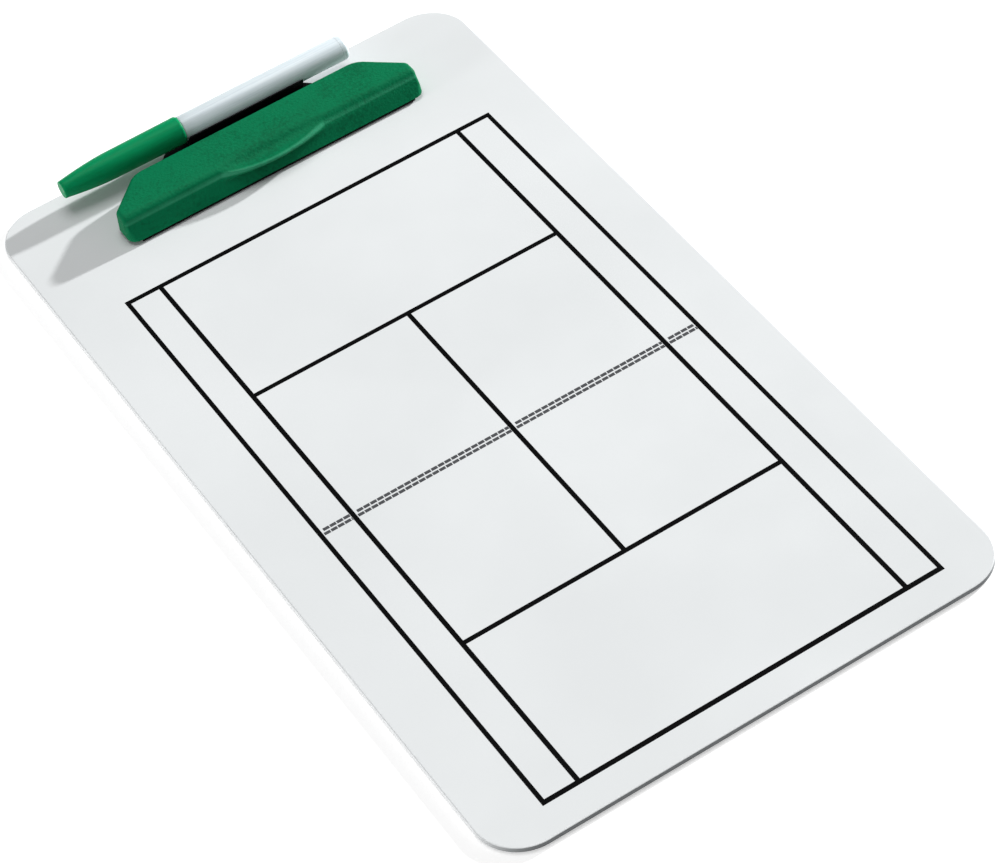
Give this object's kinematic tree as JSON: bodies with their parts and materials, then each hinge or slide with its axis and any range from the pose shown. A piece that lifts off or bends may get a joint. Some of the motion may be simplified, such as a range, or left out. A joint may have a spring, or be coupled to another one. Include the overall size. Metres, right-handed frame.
{
  "type": "coach tactics board",
  "caption": "White rigid tactics board with a court diagram, a sprung green moulded clip on a hinge pin and a capped dry-erase marker lying in a black trough behind the clip.",
  "frame": {"origin": "centre of the board's underside", "axes": "+Z out of the writing face, +Y towards the clip along the board's length, +X to the reader's right"},
  "size_m": [0.2286, 0.4138, 0.0197],
  "materials": {
    "white_board": "satin white writing surface",
    "black_base": "fine satin black moulding",
    "green_moulding": "fine grained green moulding",
    "black_rubber": "matt black rubber",
    "plated_steel": "bright plated",
    "spring_wire": "drawn wire",
    "white_tube": "smooth white",
    "green_cap": "smooth semi-gloss green",
    "cap_liner": "soft translucent white",
    "grey_section": "smooth light grey",
    "felt": "green inked felt",
    "fibre": "ink-soaked fibre"
  },
  "bodies": {
    "board": {"board_panel": "white_board", "clip_base": "black_base", "hinge_pin": "plated_steel", "spring_left": "spring_wire", "spring_right": "spring_wire", "rivet_left": "plated_steel", "rivet_right": "plated_steel", "rivet_washer_left": "plated_steel", "rivet_washer_right": "plated_steel"},
    "jaw": {"clip_jaw": "green_moulding", "jaw_grip": "black_rubber"},
    "marker": {"marker_barrel": "white_tube", "marker_end_plug": "white_tube", "marker_section": "grey_section", "marker_nib": "felt", "marker_reservoir": "fibre"},
    "cap": {"marker_cap": "green_cap", "marker_cap_liner": "cap_liner"}
  },
  "joints": [
    {"name": "clip_open", "type": "hinge", "parent": "board", "child": "jaw", "pos_m": [0.003, 0.17955, 0.008], "axis": [-1, 0, 0], "range_deg": [0, 32], "stiffness_Nm_per_rad": 0.25, "springref_deg": -57.3, "deforming": ["spring_left", "spring_right"]},
    {"name": "marker_lift", "type": "slide", "parent": "board", "child": "marker", "axis": [0, -0.1908, 0.9816], "range_m": [0, 0.06]},
    {"name": "cap_pull", "type": "slide", "parent": "marker", "child": "cap", "axis": [-1, 0, 0], "range_m": [0, 0.06]}
  ]
}
